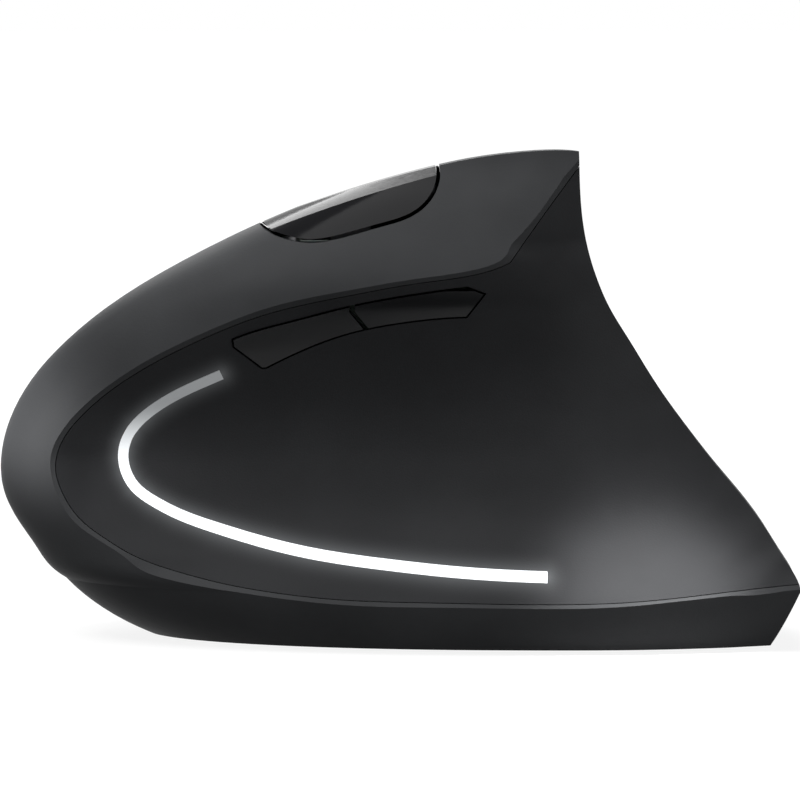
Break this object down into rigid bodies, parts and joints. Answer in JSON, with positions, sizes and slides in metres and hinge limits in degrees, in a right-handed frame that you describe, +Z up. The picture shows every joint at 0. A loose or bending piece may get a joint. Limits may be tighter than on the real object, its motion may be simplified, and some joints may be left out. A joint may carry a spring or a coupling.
{
  "type": "vertical ergonomic mouse",
  "caption": "Upright computer mouse held in a handshake grip, with a hollowed thumb rest, a glowing line round it, thumb buttons and a ridge button.",
  "frame": {"origin": "centre of the bounding box's bottom face, on the plane the feet rest on", "axes": "+Z up, +X from the nose towards the trailing wing, -Y the thumb side, +Y the finger side"},
  "size_m": [0.1201, 0.063, 0.0737],
  "materials": {
    "soft black shell": "fine satin texture",
    "click button plastic": "fine satin texture",
    "thumb rest rubber": "soft matt coating",
    "side button plastic": "satin gloss",
    "gloss black": "polished",
    "base plastic": "fine texture",
    "glide feet": "smooth and slippery",
    "screw steel": "bright zinc",
    "light guide": "milky, glows white when lit",
    "light diode": "milky",
    "flexible circuit": "satin",
    "circuit board": "lacquered",
    "chip black": "matt",
    "clear lens": "clear",
    "switch body": "matt",
    "switch plunger": "smooth",
    "inner plastic": "matt",
    "spring steel": "bright",
    "wheel rubber": "ribbed",
    "cell jacket": "satin",
    "contact plate": "nickel plated",
    "receiver plastic": "satin"
  },
  "bodies": {
    "casing": {"main_shell": "soft black shell", "palm_shell": "soft black shell", "thumb_panel": "thumb rest rubber", "base_plate": "base plastic", "glide_feet": "glide feet", "case_screws": "screw steel", "board_screws": "screw steel", "light_guide": "light guide", "light_diodes": "light diode", "light_strip_board": "flexible circuit", "main_board": "circuit board", "click_board": "circuit board", "side_board": "circuit board", "ridge_board": "circuit board", "motion_sensor": "chip black", "sensor_clip": "chip black", "sensor_lens": "clear lens", "left_switch": "switch body", "right_switch": "switch body", "wheel_switch": "switch body", "ridge_switch": "switch body", "front_side_switch": "switch body", "rear_side_switch": "switch body", "wheel_encoder": "switch body", "wheel_bracket": "inner plastic", "carrier_pin": "spring steel", "power_switch": "switch body", "battery_contacts": "contact plate", "battery_springs": "spring steel", "battery_cells": "cell jacket"},
    "left click button": {"left_button": "click button plastic"},
    "right click button": {"right_button": "click button plastic"},
    "left click plunger": {"left_plunger": "switch plunger"},
    "right click plunger": {"right_plunger": "switch plunger"},
    "wheel carrier": {"wheel_carrier": "inner plastic"},
    "scroll wheel": {"scroll_wheel": "inner plastic", "wheel_tyre": "wheel rubber", "wheel_axle": "spring steel"},
    "wheel click plunger": {"wheel_switch_plunger": "switch plunger"},
    "ridge button": {"ridge_button": "gloss black"},
    "ridge plunger": {"ridge_plunger": "switch plunger"},
    "front side button": {"front_side_button": "side button plastic"},
    "front side plunger": {"front_side_plunger": "switch plunger"},
    "rear side button": {"rear_side_button": "side button plastic"},
    "rear side plunger": {"rear_side_plunger": "switch plunger"},
    "power slider": {"power_slider": "switch plunger"},
    "battery door": {"battery_door": "base plastic"},
    "usb receiver": {"usb_receiver": "receiver plastic"}
  },
  "joints": [
    {"name": "left_click", "type": "hinge", "parent": "casing", "child": "left click button", "pos_m": [0.00114, 0.01092, 0.04498], "axis": [0.0782, -0.4938, 0.866], "range_deg": [0, 0.9], "stiffness_Nm_per_rad": 1, "springref_deg": -1.15},
    {"name": "right_click", "type": "hinge", "parent": "casing", "child": "right click button", "pos_m": [-0.00058, 0.02179, 0.02593], "axis": [0.0782, -0.4938, 0.866], "range_deg": [0, 0.9], "stiffness_Nm_per_rad": 1, "springref_deg": -1.15},
    {"name": "left_switch_press", "type": "slide", "parent": "casing", "child": "left click plunger", "axis": [0.1355, -0.8554, -0.5], "range_m": [0, 0.0004]},
    {"name": "right_switch_press", "type": "slide", "parent": "casing", "child": "right click plunger", "axis": [0.1355, -0.8554, -0.5], "range_m": [0, 0.0004]},
    {"name": "wheel_press", "type": "hinge", "parent": "casing", "child": "wheel carrier", "pos_m": [-0.04648, 0.00417, 0.03273], "axis": [-0.0782, 0.4938, -0.866], "range_deg": [0, 0.9], "stiffness_Nm_per_rad": 0.4, "springref_deg": -0.86},
    {"name": "wheel_spin", "type": "hinge", "parent": "wheel carrier", "child": "scroll wheel", "pos_m": [-0.03178, 0.00785, 0.03351], "axis": [-0.0782, 0.4938, -0.866], "continuous": true},
    {"name": "wheel_switch_press", "type": "slide", "parent": "casing", "child": "wheel click plunger", "axis": [0.1355, -0.8554, -0.5], "range_m": [0, 0.0005]},
    {"name": "ridge_press", "type": "slide", "parent": "casing", "child": "ridge button", "axis": [0, 0, -1], "range_m": [0, 0.0004], "stiffness_N_per_m": 1200, "springref_m": -0.0004},
    {"name": "ridge_switch_press", "type": "slide", "parent": "casing", "child": "ridge plunger", "axis": [0, 0, -1], "range_m": [0, 0.0004]},
    {"name": "front_side_press", "type": "slide", "parent": "casing", "child": "front side button", "axis": [0, 1, 0], "range_m": [0, 0.0005], "stiffness_N_per_m": 1200, "springref_m": -0.0004},
    {"name": "front_side_switch_press", "type": "slide", "parent": "casing", "child": "front side plunger", "axis": [0, 1, 0], "range_m": [0, 0.0005]},
    {"name": "rear_side_press", "type": "slide", "parent": "casing", "child": "rear side button", "axis": [0, 1, 0], "range_m": [0, 0.0005], "stiffness_N_per_m": 1200, "springref_m": -0.0004},
    {"name": "rear_side_switch_press", "type": "slide", "parent": "casing", "child": "rear side plunger", "axis": [0, 1, 0], "range_m": [0, 0.0005]},
    {"name": "power_slide", "type": "slide", "parent": "casing", "child": "power slider", "axis": [1, 0, 0], "range_m": [0, 0.0025]},
    {"name": "battery_door_swing", "type": "hinge", "parent": "casing", "child": "battery door", "pos_m": [0.04252, 0.00602, 0.00135], "axis": [0, -1, 0], "range_deg": [0, 75]},
    {"name": "receiver_pull", "type": "slide", "parent": "casing", "child": "usb receiver", "axis": [0, 0, -1], "range_m": [0, 0.008]}
  ],
  "couplings": [
    {"joint": "left_switch_press", "follows": "left_click", "m_per_rad": 0.022089},
    {"joint": "right_switch_press", "follows": "right_click", "m_per_rad": 0.018089},
    {"joint": "wheel_switch_press", "follows": "wheel_press", "m_per_rad": 0.031689},
    {"joint": "ridge_switch_press", "follows": "ridge_press", "ratio": 0.925},
    {"joint": "front_side_switch_press", "follows": "front_side_press", "ratio": 0.94},
    {"joint": "rear_side_switch_press", "follows": "rear_side_press", "ratio": 0.94}
  ]
}
